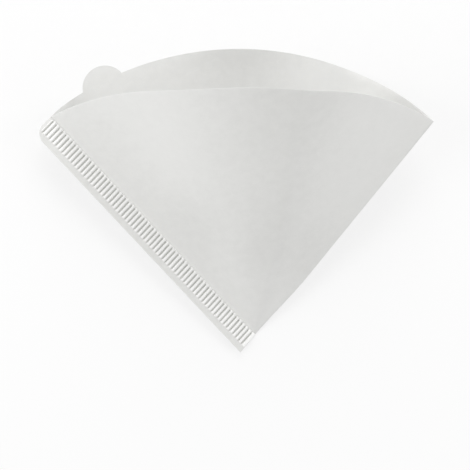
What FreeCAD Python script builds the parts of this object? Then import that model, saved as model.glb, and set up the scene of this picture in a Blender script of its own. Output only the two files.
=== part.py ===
import FreeCAD, Part
import os
from math import cos, degrees, radians, sin, sqrt, tan

# A paper coffee filter for a cone-shaped dripper.  One sheet is folded along its right side and
# crimped to itself along its left side, then opened and laid on its back wall.
# Lengths are millimetres and angles degrees.  +Y runs from tip to rim, +X to the fold, +Z up.

# The sheet
side_length = 118.0
paper = 0.2
seam_width = 8.85            # cut edge to the line where the two layers part
seam_corner_radius = 5.0

# The crimps that hold the two layers together
selvedge = 2.35              # plain margin between the cut edge and the crimps
crimp_margin = 0.3           # plain strip between the crimps and the parting line
crimp_count = 65
crimp_start = 2.0            # tip to the middle of the nearest groove
crimp_end = 2.336            # rim to the middle of the farthest groove
crimp_height = 0.3           # how far a crimp swings to each side of the seam's plane
groove_floor = 0.3           # flat bottom of the groove between two ridges
groove_side = 0.38           # run of each of its sloping sides

# The round grip tab on the back wall's rim
tab_radius = 8.7
tab_inset = 2.7              # rim to the tab's centre
tab_angle = 69.4             # fold to the tab's centre, seen from the tip

# The back wall from the seam to the fold, in spans seen from the apex of the opened cone
seam_flat_span = 4.2
left_bend_span = 4.4
left_bend_turn = 48.0
floor_span = 54.8
right_bend_span = 9.0
right_bend_turn = 41.8
fold_flat_span = 15.05

# The front wall from the fold to the seam: what is left of the sheet is flat beside the seam
front_flat_span = 29.66
fold_shoulder_span = 4.0
fold_shoulder_turn = 16.4
crown_span = 19.66
seam_shoulder_span = 9.9
seam_shoulder_turn = 18.06
first_rise = 34.5            # first estimates of the two angles that close the front wall
first_crown_turn = 15.0

# How the cone is turned and how it ends
floor_direction = 126.8      # +X to the floor facet's left edge
seam_tilt = 14.7             # how far the seam's cut edge is lifted
hollow_start = 4.0           # apex to the bottom of the hollow
bend_strips = 8              # narrow flat strips that carry the sheet round one bend

crimp_pitch = (side_length - crimp_start - crimp_end) / (crimp_count - 1)
sheet_angle = seam_flat_span + left_bend_span + floor_span + right_bend_span + fold_flat_span
apex_offset = seam_width / sin(radians(sheet_angle))
up = FreeCAD.Vector(0, 0, 1)
apex = FreeCAD.Vector(0, 0, 0)


def turned(frame, axis, angle):
    """Turn a frame of the wall: its ray from the apex, the way along the wall, and outwards."""
    rotation = FreeCAD.Rotation(axis, angle)
    return tuple(rotation.multVec(direction) for direction in frame)


def unroll(frame, stretches, sense=1):
    """Follow the sheet through stretches, each a span and how far it turns inwards over it.

    Returns the flat strips that it passes, each two edge rays and a normal, and the last frame.
    """
    strips = []
    for span, turn in stretches:
        count = bend_strips if turn else 1
        crease = -sense * turn / (count + 1)
        for _ in range(count):
            start = turned(frame, frame[0], crease)
            frame = turned(start, start[2], sense * span / count)
            strips.append((start[0], frame[0], start[2]))
        frame = turned(frame, frame[0], crease)
    return strips, frame


def back_wall():
    """Strips from the seam to the fold, with the floor facet level, and the frames at its ends."""
    ray = FreeCAD.Vector(cos(radians(floor_direction)), sin(radians(floor_direction)), 0)
    floor_left = (ray, ray.cross(up), -up)
    to_seam = [(left_bend_span, left_bend_turn), (seam_flat_span, 0)]
    to_fold = [(floor_span, 0), (right_bend_span, right_bend_turn), (fold_flat_span, 0)]
    left_strips, seam_frame = unroll(floor_left, to_seam, -1)
    right_strips, fold_frame = unroll(floor_left, to_fold)
    left_strips = [(end, start, outward) for start, end, outward in reversed(left_strips)]
    return left_strips + right_strips, seam_frame, fold_frame


def front_wall(fold_ray, rise, crown_turn):
    """Strips from the fold to the seam, leaving the fold at this rise, and the last frame."""
    left = up.cross(fold_ray).normalize()
    along = left * cos(radians(rise)) + fold_ray.cross(left) * sin(radians(rise))
    bent_span = fold_shoulder_span + crown_span + seam_shoulder_span
    return unroll((fold_ray, along, fold_ray.cross(along)), [
        (front_flat_span, 0),
        (fold_shoulder_span, fold_shoulder_turn),
        (crown_span, crown_turn),
        (seam_shoulder_span, seam_shoulder_turn),
        (sheet_angle - front_flat_span - bent_span, 0),
    ])


def closed_front_wall(fold_ray, seam_frame):
    """The front wall whose rise and crown bring its last ray onto the seam, by Newton's method."""
    rise, crown_turn = first_rise, first_crown_turn
    step = 0.01

    def miss(rise, crown_turn):
        end_ray = front_wall(fold_ray, rise, crown_turn)[1][0]
        return end_ray.dot(seam_frame[1]), end_ray.dot(seam_frame[2])

    for _ in range(12):
        a, b = miss(rise, crown_turn)
        a_rise, b_rise = miss(rise + step, crown_turn)
        a_turn, b_turn = miss(rise, crown_turn + step)
        a_rise, b_rise = (a_rise - a) / step, (b_rise - b) / step
        a_turn, b_turn = (a_turn - a) / step, (b_turn - b) / step
        scale = a_rise * b_turn - a_turn * b_rise
        rise -= (a * b_turn - b * a_turn) / scale
        crown_turn -= (b * a_rise - a * b_rise) / scale
    return front_wall(fold_ray, rise, crown_turn)


def rim_reach(angle):
    """Apex to rim at this angle from the fold: the rim is an arc about the tip of the flat sheet."""
    across = apex_offset * sin(radians(angle))
    return sqrt(side_length ** 2 - across ** 2) - apex_offset * cos(radians(angle))


def make_walls(back_strips, front_strips):
    """Both walls as one hollow, pointed skin, closed by its rim and by a blind end at the apex."""
    strips = back_strips + front_strips
    angles = [sheet_angle]
    for i, (start, end, _) in enumerate(strips):
        sense = -1 if i < len(back_strips) else 1
        angles.append(angles[-1] + sense * degrees(start.getAngle(end)))

    rays = [strip[0] for strip in strips] + [strips[0][0]]
    normals = [strips[-1][2]] + [strip[2] for strip in strips] + [strips[0][2]]
    offsets = [
        (one + other) * (-paper / (1 + one.dot(other))) for one, other in zip(normals, normals[1:])
    ]
    blind_end = apex + (rays[0] + rays[len(back_strips)]).normalize() * hollow_start / 2

    faces = []
    for i, strip in enumerate(strips):
        middle_ray = (rays[i] + rays[i + 1]).normalize() * rim_reach((angles[i] + angles[i + 1]) / 2)
        outer = [apex + rays[k] * rim_reach(angles[k]) for k in (i, i + 1)]
        inner = [apex + rays[k] * rim_reach(angles[k]) + offsets[k] for k in (i, i + 1)]
        bottom = [apex + rays[k] * hollow_start + offsets[k] for k in (i, i + 1)]
        outer_rim = Part.Arc(outer[0], apex + middle_ray, outer[1]).toShape()
        inner_rim = Part.Arc(inner[0], apex + middle_ray - strip[2] * paper, inner[1]).toShape()
        faces.append(Part.Face(Part.Wire(
            [Part.makeLine(apex, outer[0]), outer_rim, Part.makeLine(outer[1], apex)])))
        faces.append(Part.Face(Part.Wire(
            [Part.makeLine(bottom[0], inner[0]), inner_rim, Part.makeLine(inner[1], bottom[1]),
             Part.makeLine(bottom[1], bottom[0])])))
        faces.append(Part.makeRuledSurface(outer_rim, inner_rim))
        faces.append(Part.Face(Part.makePolygon([blind_end, *bottom, blind_end])))
    shell = Part.makeShell(faces)
    shell.sewShape()
    walls = Part.makeSolid(shell)
    if walls.Volume < 0:
        walls.reverse()
    return walls


def crimp_profile(reach):
    """Section of the double layer along the seam: grooves pressed into it, with ridges between."""
    inner, outer = groove_floor / 2, groove_floor / 2 + groove_side
    middle = [(0, crimp_height)]
    for i in range(crimp_count):
        groove = crimp_start + i * crimp_pitch
        middle += [(groove - outer, crimp_height), (groove - inner, -crimp_height)]
        middle += [(groove + inner, -crimp_height), (groove + outer, crimp_height)]
    last_ridge_end = groove + crimp_pitch - outer
    middle += [(last_ridge_end, crimp_height), (last_ridge_end + groove_side / 2, 0), (reach, 0)]
    outline = [(y, z + paper) for y, z in middle] + [(y, z - paper) for y, z in reversed(middle)]
    return [FreeCAD.Vector(selvedge, y, z) for y, z in outline + outline[:1]]


def seam_outline(inner_edge):
    """The seam seen from above, tip at the origin: cut edge, rounded corner, rim and folded edge."""
    radius = seam_corner_radius
    corner_height = sqrt((side_length - radius) ** 2 - radius ** 2)
    centre = FreeCAD.Vector(radius, corner_height, 0)
    tip = FreeCAD.Vector(0, 0, 0)
    side_end = FreeCAD.Vector(0, corner_height, 0)
    rim_start = centre * (side_length / (side_length - radius))
    corner_middle = ((side_end - centre) + (rim_start - centre)).normalize() * radius + centre
    rim_end = FreeCAD.Vector(inner_edge, sqrt(side_length ** 2 - inner_edge ** 2), 0)
    rim_middle = (rim_start + rim_end).normalize() * side_length
    fold_end = FreeCAD.Vector(inner_edge, inner_edge / tan(radians(sheet_angle)), 0)
    return Part.Wire([
        Part.makeLine(tip, side_end),
        Part.Arc(side_end, corner_middle, rim_start).toShape(),
        Part.Arc(rim_start, rim_middle, rim_end).toShape(),
        Part.makeLine(rim_end, fold_end),
        Part.makeLine(fold_end, tip),
    ])


def make_seam(seam_ray, front_inwards):
    """The crimped double layer beyond the parting line, drawn flat and set in its tilted plane.

    Its underside carries on from the parting line, and its inner edge is tucked into the front wall.
    """
    along = seam_ray
    level = along.cross(up).normalize()
    inwards = level * cos(radians(seam_tilt)) + level.cross(along) * -sin(radians(seam_tilt))
    tuck = 2 * paper / tan(inwards.getAngle(front_inwards)) + paper / 2
    inner_edge = seam_width + tuck
    crimp_length = seam_width - crimp_margin - selvedge
    inner_start = selvedge + crimp_length

    crimps = Part.Face(Part.makePolygon(crimp_profile(side_length)))
    crimps = crimps.extrude(FreeCAD.Vector(crimp_length, 0, 0))
    margin = Part.makeBox(selvedge, side_length, 2 * paper, FreeCAD.Vector(0, 0, -paper))
    inner_strip = Part.makeBox(
        inner_edge - inner_start, side_length, 2 * paper, FreeCAD.Vector(inner_start, 0, -paper))
    depth = crimp_height + 2 * paper
    stamp = Part.Face(seam_outline(inner_edge))
    stamp.translate(FreeCAD.Vector(0, 0, -depth))
    stamp = stamp.extrude(FreeCAD.Vector(0, 0, 2 * depth))
    seam = margin.fuse([crimps, inner_strip]).common(stamp)

    upwards = inwards.cross(along)
    fold_drop = seam_width / tan(radians(sheet_angle))
    tip = apex - inwards * seam_width - along * fold_drop + upwards * paper
    seam.Placement = FreeCAD.Placement(tip, FreeCAD.Rotation(inwards, along, upwards))
    floor = Part.makeBox(
        2 * side_length, 2 * side_length, side_length,
        FreeCAD.Vector(-side_length, -side_length, -side_length))
    return seam.cut(floor)


def make_tab():
    """The grip tab, a disc in the plane of the floor facet whose centre lies just inside the rim."""
    fold_direction = floor_direction - floor_span - right_bend_span - fold_flat_span
    out = radians(fold_direction)
    sheet_tip = apex - FreeCAD.Vector(cos(out), sin(out), 0) * apex_offset
    out = radians(fold_direction + tab_angle)
    centre = sheet_tip + FreeCAD.Vector(cos(out), sin(out), 0) * (side_length - tab_inset)
    return Part.makeCylinder(tab_radius, paper, centre)


def on_its_base(shape):
    """Move the shape so that the origin is under the middle of its box, on the surface it lies on."""
    box = shape.optimalBoundingBox(False, False)
    shape.translate(FreeCAD.Vector(-box.Center.x, -box.Center.y, -box.ZMin))
    return shape


back_strips, seam_frame, fold_frame = back_wall()
front_strips, front_end = closed_front_wall(fold_frame[0], seam_frame)
walls = make_walls(back_strips, front_strips)
seam = make_seam(seam_frame[0], -front_end[1])
coffee_filter = on_its_base(walls.fuse([seam, make_tab()]).removeSplitter())

os.makedirs("parts", exist_ok=True)
coffee_filter.exportStep("parts/coffee_filter.step")
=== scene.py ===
import bpy
from math import acos, atan2, cos, degrees, exp, hypot, radians, sin, sqrt, tan
from mathutils import Matrix, Vector, noise


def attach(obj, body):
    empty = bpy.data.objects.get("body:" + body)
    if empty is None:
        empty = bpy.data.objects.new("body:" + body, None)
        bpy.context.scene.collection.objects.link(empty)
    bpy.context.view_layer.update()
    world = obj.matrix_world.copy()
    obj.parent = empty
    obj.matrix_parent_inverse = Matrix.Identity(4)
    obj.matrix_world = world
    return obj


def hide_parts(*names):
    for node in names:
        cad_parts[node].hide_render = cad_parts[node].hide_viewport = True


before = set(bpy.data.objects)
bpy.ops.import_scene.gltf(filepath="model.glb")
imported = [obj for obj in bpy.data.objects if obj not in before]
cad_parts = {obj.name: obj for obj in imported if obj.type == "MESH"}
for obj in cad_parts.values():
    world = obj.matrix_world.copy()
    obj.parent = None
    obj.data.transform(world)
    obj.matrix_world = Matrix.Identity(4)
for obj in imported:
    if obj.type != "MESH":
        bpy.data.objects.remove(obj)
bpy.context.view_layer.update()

mm = 0.001

# The camera looks almost straight down on the filter from a little over a metre, tipped a few
# degrees towards its tip and its folded side.
camera_distance = 1036.6 * mm
camera_aim = Vector((2.0, -12.9, 0.0)) * mm
camera_tip_x = radians(3.567)
camera_tip_y = radians(8.333)
camera_facing = (
    Matrix.Rotation(camera_tip_y, 3, "Y") @ Matrix.Rotation(camera_tip_x, 3, "X")).transposed()

camera_data = bpy.data.cameras.new("camera")
camera_data.sensor_fit = "HORIZONTAL"
camera_data.sensor_width = 36
camera_data.lens = 204.4
camera_data.clip_start = 0.1
camera_data.clip_end = 20
camera = bpy.data.objects.new("camera", camera_data)
camera.matrix_world = Matrix.LocRotScale(
    camera_aim + camera_facing @ Vector((0, 0, camera_distance)), camera_facing, None)
bpy.context.scene.collection.objects.link(camera)
bpy.context.scene.camera = camera


# The walls of the opened filter: one sheet of bleached filter paper, folded along its right side
# and parted at the crimped seam on its left.  The lower wall lies flat on the table and carries
# the round grip tab; the upper wall stands open in a low arch.  Angles are seen from the apex.
side_length = 118.0
paper = 0.2
seam_width = 8.85
sheet_angle = 87.45
apex_offset = seam_width / sin(radians(sheet_angle))
apex = Vector((9.926, -52.187, 0))    # where the solid has it
hollow_start = 4.0
pinched_rim = 0.09           # the die that cuts the sheet pinches it to about half its thickness

tab_radius = 8.7
tab_inset = 2.7
tab_angle = 69.4

floor_direction = 126.8
# Stretches of the sheet, each its span and how far it turns inwards: the lower wall from its floor
# to the seam and to the fold, and the upper wall from the fold to the seam.
to_seam = [(4.4, 48.0), (4.2, 0)]
to_fold = [(54.8, 0), (9.0, 41.8), (15.05, 0)]
over_the_top = [(29.66, 0), (4.0, 16.4), (19.66, 15.0), (9.9, 18.06), (24.23, 0)]
crown = 2                    # the upper wall's stretch whose turn is worked out
first_rise = 34.5
newton_rounds = 8
bend_ease = 0.22             # share of a bend's span over which it fades out
column_step = 0.62
bend_column_step = 0.3
fine_columns_end = 6.4       # the left bend's finer columns reach this far
tab_columns = 40
rows = 96
up = Vector((0, 0, 1))


def ease(t):
    t = min(max(t, 0), 1)
    return t * t * (3 - 2 * t)


def curl(stretches, at):
    """How far the sheet has bent inwards at this angle along the stretches."""
    total, start = 0, 0
    for span, turn in stretches:
        fade_in, fade_out = max(start - bend_ease * span, 0), start + span + bend_ease * span
        total += turn * ease((at - fade_in) / (fade_out - fade_in))
        start += span
    return total


def follow(sheet, stretches, angles, sense=1):
    """Frames of the sheet at these angles: its ray, the way along it, and outwards."""
    sheets = [sheet]
    for near, far in zip(angles, angles[1:]):
        half_turn = -sense * radians(curl(stretches, far) - curl(stretches, near)) / 2
        for axis, angle in ((0, half_turn), (2, sense * radians(far - near)), (0, half_turn)):
            turn = Matrix.Rotation(angle, 3, sheet[axis])
            sheet = [turn @ direction for direction in sheet]
        sheets.append(sheet)
    return sheets


def steps(start, end, step):
    count = max(1, round(abs(end - start) / step))
    return [start + (end - start) * i / count for i in range(count + 1)]


def tab_outline():
    """Angle from the fold and reach from the apex of points on the tab's free edge."""
    centre_reach = side_length - tab_inset
    half = degrees(acos(
        (side_length ** 2 - centre_reach ** 2 - tab_radius ** 2) / (2 * centre_reach * tab_radius)))
    outline = []
    for theta in steps(tab_angle - half, tab_angle + half, 2 * half / tab_columns):
        x = centre_reach * cos(radians(tab_angle)) + tab_radius * cos(radians(theta)) - apex_offset
        y = centre_reach * sin(radians(tab_angle)) + tab_radius * sin(radians(theta))
        outline.append((degrees(atan2(y, x)), hypot(x, y)))
    return outline


def rim_reach(angle):
    across = apex_offset * sin(radians(angle))
    return sqrt(side_length ** 2 - across ** 2) - apex_offset * cos(radians(angle))


def front_from(fold_ray, rise, crown_turn, angles):
    left = up.cross(fold_ray).normalized()
    along = left * cos(radians(rise)) + fold_ray.cross(left) * sin(radians(rise))
    stretches = list(over_the_top)
    stretches[crown] = (over_the_top[crown][0], crown_turn)
    return follow([fold_ray, along, fold_ray.cross(along)], stretches, angles)


def closed_front(fold_ray, seam_sheet, angles):
    """The upper wall whose rise and crown bring its last ray onto the seam, by Newton's method."""
    rise, crown_turn, step = first_rise, over_the_top[crown][1], 0.01

    def miss(rise, crown_turn):
        end_ray = front_from(fold_ray, rise, crown_turn, angles)[-1][0]
        return end_ray.dot(seam_sheet[1]), end_ray.dot(seam_sheet[2])

    for _ in range(newton_rounds):
        a, b = miss(rise, crown_turn)
        a_rise, b_rise = miss(rise + step, crown_turn)
        a_turn, b_turn = miss(rise, crown_turn + step)
        a_rise, b_rise = (a_rise - a) / step, (b_rise - b) / step
        a_turn, b_turn = (a_turn - a) / step, (b_turn - b) / step
        scale = a_rise * b_turn - a_turn * b_rise
        rise -= (a * b_turn - b * a_turn) / scale
        crown_turn -= (b * a_rise - a * b_rise) / scale
    return front_from(fold_ray, rise, crown_turn, angles)


floor_ray = Vector((cos(radians(floor_direction)), sin(radians(floor_direction)), 0))
floor_left = [floor_ray, floor_ray.cross(up), -up]
left_span = sum(span for span, _ in to_seam)
right_span = sum(span for span, _ in to_fold)
tab = tab_outline()
left_angles = (
    steps(0, fine_columns_end, bend_column_step)
    + steps(fine_columns_end, left_span, column_step)[1:])
tab_reach = {right_span - angle: reach for angle, reach in reversed(tab)}
tab_angles = list(tab_reach)
right_angles = (
    steps(0, tab_angles[0], bend_column_step)[:-1] + tab_angles
    + steps(tab_angles[-1], right_span, column_step)[1:])
front_angles = steps(0, sheet_angle, column_step)

left_sheets = follow(floor_left, to_seam, left_angles, -1)
right_sheets = follow(floor_left, to_fold, right_angles)
fold_ray = right_sheets[-1][0]
front_sheets = closed_front(fold_ray, left_sheets[-1], front_angles)

# Each column: angle from the fold, reach, ray, outward direction, and 1 on the upper wall.
columns = []
for angle, sheet in zip(reversed(left_angles[1:]), reversed(left_sheets[1:])):
    columns.append((right_span + angle, rim_reach(right_span + angle), sheet[0], sheet[2], 0))
for angle, sheet in zip(right_angles, right_sheets):
    reach = tab_reach.get(angle) or rim_reach(right_span - angle)
    columns.append((right_span - angle, reach, sheet[0], sheet[2], 0))
for angle, sheet in zip(front_angles[1:-1], front_sheets[1:-1]):
    columns.append((angle, rim_reach(angle), sheet[0], sheet[2], 1))

fold_column = len(left_angles) - 1 + len(right_angles) - 1
inner_offsets = [-outward * paper for _, _, _, outward, _ in columns]
for column, one, other in (
        (0, left_sheets[-1][2], front_sheets[-1][2]),
        (fold_column, right_sheets[-1][2], front_sheets[0][2])):
    inner_offsets[column] = (one + other) * (-paper / (1 + one.dot(other)))


# Faint waves, which die out where the fold, the seam and the tip hold the sheet.
broad_size = 26.0
broad_wave = 0.30
fine_size = 9.0
fine_wave = 0.06
lower_wave = 0.15            # the lower wall lies on the table and can only rise from it
held_angle = 9.0
held_distance = 40.0
# The middle of the upper wall's rim springs up a little more.
rim_lift = 1.6
lift_start = 30.0
lift_run = 85.0
lift_angle = 48.0
lift_spread = 20.0


def sheet_wave(angle, distance, upper):
    """How far the paper stands inwards of its true cone, from its folding and handling."""
    x, y = distance * cos(radians(angle)), distance * sin(radians(angle))
    broad = noise.noise(Vector((x / broad_size, y / broad_size, 3.0 + 5 * upper)))
    fine = noise.noise(Vector((x / fine_size, y / fine_size, 11.0 + 5 * upper)))
    held = (
        ease(angle / held_angle) * ease((sheet_angle - angle) / held_angle)
        * ease(distance / held_distance))
    if upper:
        lift = (
            rim_lift * ease((distance - lift_start) / lift_run)
            * exp(-((angle - lift_angle) / lift_spread) ** 2))
        return (broad_wave * broad + fine_wave * fine - lift) * held
    return lower_wave * abs(broad) * held


# The fold is not quite straight: it bows outwards on its way to the tip.
fold_bow = 1.1
bow_top = 30.0
bow_end = 92.0
bow_spread = 22.0
fold_outwards = fold_ray.cross(up).normalized()


# The upper wall's creases fade out towards the tip: each ray there turns to the mean of those
# beside it.
crease_end = 42.0
crease_columns = 14
soft_rays = {}
for k, angle in enumerate(front_angles):
    beside = min(crease_columns, k, len(front_angles) - 1 - k)
    near_rays = [sheet[0] for sheet in front_sheets[k - beside:k + beside + 1]]
    soft_rays[angle] = sum(near_rays, Vector()) / len(near_rays)


def on_the_sheet(angle, distance, ray, outward, upper):
    """A point of the sheet's outer face, with its waves, its bow and its softened creases."""
    if upper:
        ray = ray.lerp(soft_rays[angle], ease(1 - distance / crease_end))
    bow = (
        fold_bow * min(1, (bow_end - distance) / (bow_end - bow_top))
        * ease(distance / bow_top) * ease(1 - angle / bow_spread))
    wave = outward * sheet_wave(angle, distance, upper)
    return apex + ray * distance - wave + fold_outwards * bow


# Broad darker and lighter areas of painted shade and painted light, drawn as a thinner and thicker
# web.  They were set against the photo's tones, so they also stand for some of its shade; the strip
# of the lower wall between the tab and the seam, and the lower wall along its rim, are painted shade.
# Each is the wall (1 is the upper), angle from the fold, its half spread, distance from the apex, its
# half length, and its strength.
web_and_painted_shade_areas = [
    (1, 38.0, 13.0, 118, 42, -0.31),
    (1, 36.0, 12.0, 54, 26, -0.13),
    (1, 34.0, 2.2, 84, 34, -0.05),
    (1, 41.0, 12.0, 37, 13, -0.12),
    (1, 68.0, 9.0, 57, 12, -0.09),
    (1, 12.0, 14.0, 104, 50, 0.08),
    (1, 10.0, 15.0, 42, 17, -0.12),
    (1, 12.0, 12.0, 12, 12, 0.20),
    (1, 66.0, 10.0, 108, 36, 0.08),
    (1, 72.0, 14.0, 46, 20, -0.12),
    (1, 79.0, 7.0, 84, 36, -0.08),
    (0, 44.0, 25.0, 116, 12, -0.26),
    (0, 46.0, 10.0, 114, 22, -0.36),
    (0, 27.0, 8.0, 98, 12, 0.26),
    (0, 6.0, 8.0, 114, 24, -0.46),
    (0, 84.0, 5.0, 114, 30, -0.75),
]


# Painted shade and painted light: the sum of the areas above at this point of a wall.
def web_painted_shade_and_light(angle, distance, upper):
    total = 0
    for wall, middle, spread, reach, length, amount in web_and_painted_shade_areas:
        if wall == upper:
            total += amount * exp(
                -((angle - middle) / spread) ** 2 - ((distance - reach) / length) ** 2)
    return total


verts, faces, web_and_shade = [apex.copy()], [], [0]
count = len(columns)
for angle, reach, ray, outward, upper in columns:
    for row in range(1, rows + 1):
        distance = reach * row / rows
        verts.append(on_the_sheet(angle, distance, ray, outward, upper))
        web_and_shade.append(web_painted_shade_and_light(angle, distance, upper))
outer = [[1 + k * rows + row for row in range(rows)] for k in range(count)]
first_inner = len(verts)
for (angle, reach, ray, outward, upper), inwards in zip(columns, inner_offsets):
    for row in range(rows):
        distance = hollow_start + (reach - hollow_start) * row / (rows - 1)
        pinch = pinched_rim / paper if row == rows - 1 else 1
        verts.append(on_the_sheet(angle, distance, ray, outward, upper) + inwards * pinch)
        web_and_shade.append(web_painted_shade_and_light(angle, distance, upper))
inner = [[first_inner + k * rows + row for row in range(rows)] for k in range(count)]
blind_end = len(verts)
verts.append(apex + (columns[0][2] + fold_ray).normalized() * hollow_start / 2)
web_and_shade.append(0)

for k in range(count):
    m = (k + 1) % count
    faces.append((0, outer[k][0], outer[m][0]))
    faces.append((blind_end, inner[m][0], inner[k][0]))
    for row in range(rows - 1):
        faces.append((outer[k][row], outer[k][row + 1], outer[m][row + 1], outer[m][row]))
        faces.append((inner[m][row], inner[m][row + 1], inner[k][row + 1], inner[k][row]))
    faces.append((outer[k][-1], inner[k][-1], inner[m][-1], outer[m][-1]))


sharp_angle = 40.0


def paper_piece(name, verts, faces):
    """A smooth mesh object from points in millimetres, its cut edges and folds kept sharp."""
    mesh = bpy.data.meshes.new(name)
    mesh.from_pydata([point * mm for point in verts], [], faces)
    mesh.validate()
    mesh.shade_smooth()
    mesh.set_sharp_from_angle(angle=radians(sharp_angle))
    piece = bpy.data.objects.new(name, mesh)
    bpy.context.scene.collection.objects.link(piece)
    return piece


walls = paper_piece("filter_walls", verts, faces)
# The walls' point attribute holds the areas' painted shade and painted light.
walls.data.attributes.new("web_painted_shade_and_light", "FLOAT", "POINT").data.foreach_set("value", web_and_shade)


def linear(hex_colour):
    """An sRGB hex colour as the linear values that a shader takes."""
    channels = [int(hex_colour[i:i + 2], 16) / 255 for i in (1, 3, 5)]
    return [c / 12.92 if c <= 0.04045 else ((c + 0.055) / 1.055) ** 2.4 for c in channels] + [1]


def add_node(tree, kind, settings=(), inputs=(), links=()):
    """Add a node, set its properties and sockets, and link (socket, node, its output) to it."""
    node = tree.nodes.new(kind)
    for name, value in dict(settings).items():
        setattr(node, name, value)
    for name, value in dict(inputs).items():
        node.inputs[name].default_value = value
    for name, source, output in links:
        tree.links.new(source.outputs[output], node.inputs[name])
    return node


# Bleached filter paper: a wet-laid web of long wood fibres with no coating or filler.  It is a
# soft white, quite matt, and lets light through; it is whiter where the fibres lie thicker.
# The thin and thick whites also show the walls' painted shade and painted light, besides the paper's
# uneven web.
thin_web_and_shaded_white = "#D2D2D0"
even_white = "#E5E5E3"
thick_web_and_lit_white = "#EFEFED"
cloud_size = 3.2
fibre_size = 0.35            # real fibres are about 0.03 mm wide: drawn coarser so that they show
cloud_depth = 0.5

filter_paper = bpy.data.materials.new("bleached_filter_paper")
filter_paper.use_nodes = True
tree = filter_paper.node_tree
tree.nodes.clear()
coordinates = add_node(tree, "ShaderNodeTexCoord")
clouds = add_node(
    tree, "ShaderNodeTexNoise",
    inputs={"Scale": 1 / (cloud_size * mm), "Detail": 3, "Roughness": 0.6},
    links=[("Vector", coordinates, "Object")])
fibres = add_node(
    tree, "ShaderNodeTexNoise",
    inputs={"Scale": 1 / (fibre_size * mm), "Detail": 3, "Roughness": 0.7, "Distortion": 1.5},
    links=[("Vector", coordinates, "Object")])
weight = add_node(
    tree, "ShaderNodeMix", {"data_type": "FLOAT"}, {"Factor": 0.5},
    [("A", clouds, "Fac"), ("B", fibres, "Fac")])
# This attribute brings in the walls' painted shade and painted light, and the seam's pressed
# selvedge.
area = add_node(tree, "ShaderNodeAttribute", {"attribute_name": "web_painted_shade_and_light"})
uneven = add_node(
    tree, "ShaderNodeMapRange",
    inputs={"To Min": 0.5 - cloud_depth / 2, "To Max": 0.5 + cloud_depth / 2},
    links=[("Value", weight, "Result")])
web_and_shade_sum = add_node(tree, "ShaderNodeMath", links=[(0, uneven, "Result"), (1, area, "Fac")])
tint = add_node(tree, "ShaderNodeValToRGB", links=[("Fac", web_and_shade_sum, "Value")])
ramp = tint.color_ramp
ramp.elements.new(0.5)
whites = (thin_web_and_shaded_white, even_white, thick_web_and_lit_white)
for element, position, colour in zip(ramp.elements, (0, 0.5, 1), whites):
    element.position = position
    element.color = linear(colour)
grain = add_node(
    tree, "ShaderNodeBump", inputs={"Strength": 0.25, "Distance": 0.05 * mm},
    links=[("Height", weight, "Result")])
surface = add_node(
    tree, "ShaderNodeBsdfPrincipled",
    inputs={
        "Roughness": 0.95, "Specular IOR Level": 0.25, "IOR": 1.45,
        "Subsurface Weight": 0.5, "Subsurface Radius": (1, 1, 1), "Subsurface Scale": 0.4 * mm},
    links=[("Base Color", tint, "Color"), ("Normal", grain, "Normal")])
add_node(tree, "ShaderNodeOutputMaterial", links=[("Surface", surface, "BSDF")])

walls.data.materials.append(filter_paper)
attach(walls, "root")
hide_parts("coffee_filter")


# The crimped seam: the sheet's two layers pressed together between toothed wheels, with no glue.
# The wheels leave a row of narrow round-ended grooves across the seam, and a plain selvedge
# outside them.
seam_tilt = 14.7
seam_corner_radius = 5.0
selvedge = 2.35
selvedge_web = -0.14         # the selvedge is pressed thinner, and is a little greyer
selvedge_fade = 0.6
crimp_margin = 0.3
crimp_count = 65
crimp_start = 2.0
crimp_end = 2.336
crimp_pitch = (side_length - crimp_start - crimp_end) / (crimp_count - 1)
crimp_height = 0.3
groove_radius = 0.05
tip_flank = 0.41             # run of each groove's side towards the tip, the steeper of the two
rim_flank = 0.95
raise_start = 0.2            # the ridges rise from the selvedge this far outside the crimps
raise_run = 0.9
wall_reach = 0.5             # their fade beside the upper wall would end this far past the inner edge
wall_run = 0.8
end_reach = 0.2              # the last ridge ends this far past half a pitch beyond the last groove
end_run = 0.4
rows_in_a_crimp = 18
seam_columns = [             # from the cut edge, closest where the seam's section changes
    0, 0.06, 0.2, 0.45, 0.8, 1.3, 1.9, 2.25, 2.5, 2.75, 3.05, 3.5, 4.3, 5.2, 6.1, 7.0,
    7.6, 7.9, 8.2, 8.5, 8.85]
settle = 8.0                 # length near each end over which the rows take up that end's shape

seam_ray = left_sheets[-1][0]
front_inwards = -front_sheets[-1][1]
level = seam_ray.cross(up).normalized()
inwards = level * cos(radians(seam_tilt)) - level.cross(seam_ray) * sin(radians(seam_tilt))
upwards = inwards.cross(seam_ray)
tip_drop = seam_width / tan(radians(sheet_angle))
seam_tip = apex - inwards * seam_width - seam_ray * tip_drop + upwards * paper
tuck = (2 * paper + crimp_height) / tan(inwards.angle(front_inwards))
inner_edge = seam_width + tuck + paper / 2
seam_columns.append(inner_edge)


def seam_end(x):
    """Tip to rim at this distance from the cut edge, round the corner."""
    corner_height = sqrt((side_length - seam_corner_radius) ** 2 - seam_corner_radius ** 2)
    corner_x = seam_corner_radius * side_length / (side_length - seam_corner_radius)
    if x < corner_x:
        rest = max(seam_corner_radius ** 2 - (seam_corner_radius - x) ** 2, 0)
        return min(corner_height + sqrt(rest), sqrt(side_length ** 2 - x ** 2))
    return sqrt(side_length ** 2 - x ** 2)


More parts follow.
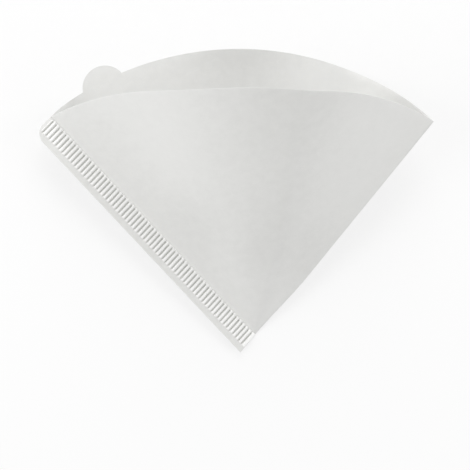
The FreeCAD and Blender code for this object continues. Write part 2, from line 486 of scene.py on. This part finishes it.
def crimp(x, y):
    """Height of the pressed double layer over the seam's plane."""
    k = min(max(round((y - crimp_start) / crimp_pitch), 0), crimp_count - 1)
    from_groove = y - crimp_start - k * crimp_pitch
    flank = rim_flank if from_groove > 0 else tip_flank
    beyond = max(selvedge + crimp_margin + tip_flank - x, x - seam_width + crimp_margin, 0)
    pressed = 1 - ease((hypot(beyond, from_groove) - groove_radius) / flank)
    last_end = crimp_start + (crimp_count - 0.5) * crimp_pitch
    raised = (
        ease((x - selvedge + raise_start) / raise_run)
        * ease((inner_edge + wall_reach - x) / wall_run)
        * ease((y - crimp_start + crimp_pitch) / end_run)
        * ease((last_end + end_reach - y) / end_run))
    return crimp_height * (raised - 2 * pressed * ease((inner_edge - x) / wall_run))


row_step = crimp_pitch / rows_in_a_crimp
seam_rows = steps(0, side_length, row_step)
verts, faces, swings, web_and_shade = [], [], [], []
for side in (1, -1):
    for x in seam_columns:
        low, high = x / tan(radians(sheet_angle)), seam_end(x)
        for y in seam_rows:
            if y < settle:
                y = low + y * (settle - low) / settle
            if y > side_length - settle:
                y = (
                    side_length - settle
                    + (y - side_length + settle) * (high - side_length + settle) / settle)
            swing = crimp(x, y)
            swings.append(side * swing / crimp_height)
            web_and_shade.append(selvedge_web * ease((selvedge + selvedge_fade - x) / selvedge_fade))
            point = seam_tip + inwards * x + seam_ray * y + upwards * (swing + side * paper)
            point.z = max(point.z, 0)
            verts.append(point)
along, across = len(seam_rows), len(seam_columns)
for side in (0, 1):
    first = side * along * across
    for i in range(across - 1):
        for j in range(along - 1):
            a = first + i * along + j
            face = (a, a + along, a + along + 1, a + 1)
            faces.append(face if side == 0 else face[::-1])
under = along * across
for j in range(along - 1):
    faces.append((j, j + 1, under + j + 1, under + j))
    a = (across - 1) * along + j
    faces.append((a + 1, a, under + a, under + a + 1))
for i in range(across - 1):
    a, b = i * along, (i + 1) * along
    faces.append((b, a, under + a, under + b))
    a, b = a + along - 1, b + along - 1
    faces.append((a, b, under + b, under + a))

seam = paper_piece("crimped_seam", verts, faces)
seam.data.attributes.new("crimp_swing", "FLOAT", "POINT").data.foreach_set("value", swings)
seam.data.attributes.new("web_painted_shade_and_light", "FLOAT", "POINT").data.foreach_set("value", web_and_shade)

# The same filter paper, pressed, with a painted highlight on the ridges and painted shade in the
# grooves.
ridge_highlight_white = "#FCFCFA"
groove_shade_grey = "#BEBEBA"
# Shares of the crimps' height at which each tint sets in and is full.
ridge_highlight_span = (0.05, 0.8)
groove_shade_span = (-0.3, -1.0)
colour_a, colour_b, mixed_colour = 6, 7, 2    # a Mix node's colour sockets, which share their names
crimp_paper_painted_light = filter_paper.copy()
crimp_paper_painted_light.name = "pressed_filter_paper_painted_light"
tree = crimp_paper_painted_light.node_tree
surface = next(node for node in tree.nodes if node.type == "BSDF_PRINCIPLED")
tint = next(node for node in tree.nodes if node.type == "VALTORGB")
swing = add_node(tree, "ShaderNodeAttribute", {"attribute_name": "crimp_swing"})
# Painted highlight on the ridges and painted shade in the grooves, by the crimps' height.
lit_ridge_share = add_node(
    tree, "ShaderNodeMapRange", inputs={"From Min": ridge_highlight_span[0], "From Max": ridge_highlight_span[1]},
    links=[("Value", swing, "Fac")])
shaded_groove_share = add_node(
    tree, "ShaderNodeMapRange", inputs={"From Min": groove_shade_span[0], "From Max": groove_shade_span[1]},
    links=[("Value", swing, "Fac")])
with_highlight = add_node(
    tree, "ShaderNodeMix", {"data_type": "RGBA"}, {colour_b: linear(ridge_highlight_white)},
    [("Factor", lit_ridge_share, "Result"), (colour_a, tint, "Color")])
with_shade = add_node(
    tree, "ShaderNodeMix", {"data_type": "RGBA"}, {colour_b: linear(groove_shade_grey)},
    [("Factor", shaded_groove_share, "Result"), (colour_a, with_highlight, mixed_colour)])
tree.links.new(with_shade.outputs[mixed_colour], surface.inputs["Base Color"])

seam.data.materials.append(crimp_paper_painted_light)
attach(seam, "root")
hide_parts("coffee_filter")


# The table: a plain white sheet, which keeps the filter's soft shadow.
floor_size = 3.0
floor_level = -0.05 * mm     # just under the filter, so that the two don't share a plane
floor_glow = 0.72            # share of what the camera sees that is plain white
card_white = "#F2F2F2"
mesh = bpy.data.meshes.new("table")
corners = [(-1, -1), (1, -1), (1, 1), (-1, 1)]
mesh.from_pydata(
    [(x * floor_size, y * floor_size, floor_level) for x, y in corners], [], [(0, 1, 2, 3)])
table = bpy.data.objects.new("table", mesh)
bpy.context.scene.collection.objects.link(table)

# Matt white card: even and without a gloss, and whiter to the camera than its shade alone.
table_white = bpy.data.materials.new("matt_white_card")
table_white.use_nodes = True
tree = table_white.node_tree
tree.nodes.clear()
path = add_node(tree, "ShaderNodeLightPath")
seen = add_node(
    tree, "ShaderNodeMath", {"operation": "MAXIMUM"},
    links=[(0, path, "Is Camera Ray"), (1, path, "Is Glossy Ray")])
seen = add_node(
    tree, "ShaderNodeMath", {"operation": "MAXIMUM"},
    links=[(0, seen, "Value"), (1, path, "Is Transmission Ray")])
share = add_node(
    tree, "ShaderNodeMath", {"operation": "MULTIPLY"}, {1: floor_glow}, [(0, seen, "Value")])
card = add_node(tree, "ShaderNodeBsdfDiffuse", inputs={"Color": linear(card_white)})
white = add_node(tree, "ShaderNodeEmission", inputs={"Color": (1, 1, 1, 1), "Strength": 1})
mixed = add_node(
    tree, "ShaderNodeMixShader",
    links=[(0, share, "Value"), (1, card, "BSDF"), (2, white, "Emission")])
add_node(tree, "ShaderNodeOutputMaterial", links=[("Surface", mixed, "Shader")])
mesh.materials.append(table_white)

# The light: a pale studio all round, a soft box on each side and a stronger one beyond the rim.
studio_strength = 0.62
soft_box_size = 0.8
soft_boxes = [               # name, place in metres, and power in watts
    ("left_soft_box", (-1.0, 0.0, 0.6), 4.6),
    ("right_soft_box", (1.0, 0.0, 0.6), 2.4),
    ("top_soft_box", (0.0, 1.0, 0.6), 6.2),
]
world = bpy.data.worlds.new("pale_studio")
bpy.context.scene.world = world
world.use_nodes = True
tree = world.node_tree
tree.nodes.clear()
sky = add_node(
    tree, "ShaderNodeBackground", inputs={"Color": (1, 1, 1, 1), "Strength": studio_strength})
add_node(tree, "ShaderNodeOutputWorld", links=[("Surface", sky, "Background")])

for name, place, watts in soft_boxes:
    soft_box = bpy.data.lights.new(name, "AREA")
    soft_box.shape = "DISK"
    soft_box.size = soft_box_size
    soft_box.energy = watts
    lamp = bpy.data.objects.new(name, soft_box)
    place = Vector(place)
    lamp.matrix_world = Matrix.LocRotScale(place, place.to_track_quat("Z", "Y"), None)
    bpy.context.scene.collection.objects.link(lamp)

bpy.context.scene.view_settings.view_transform = "Standard"
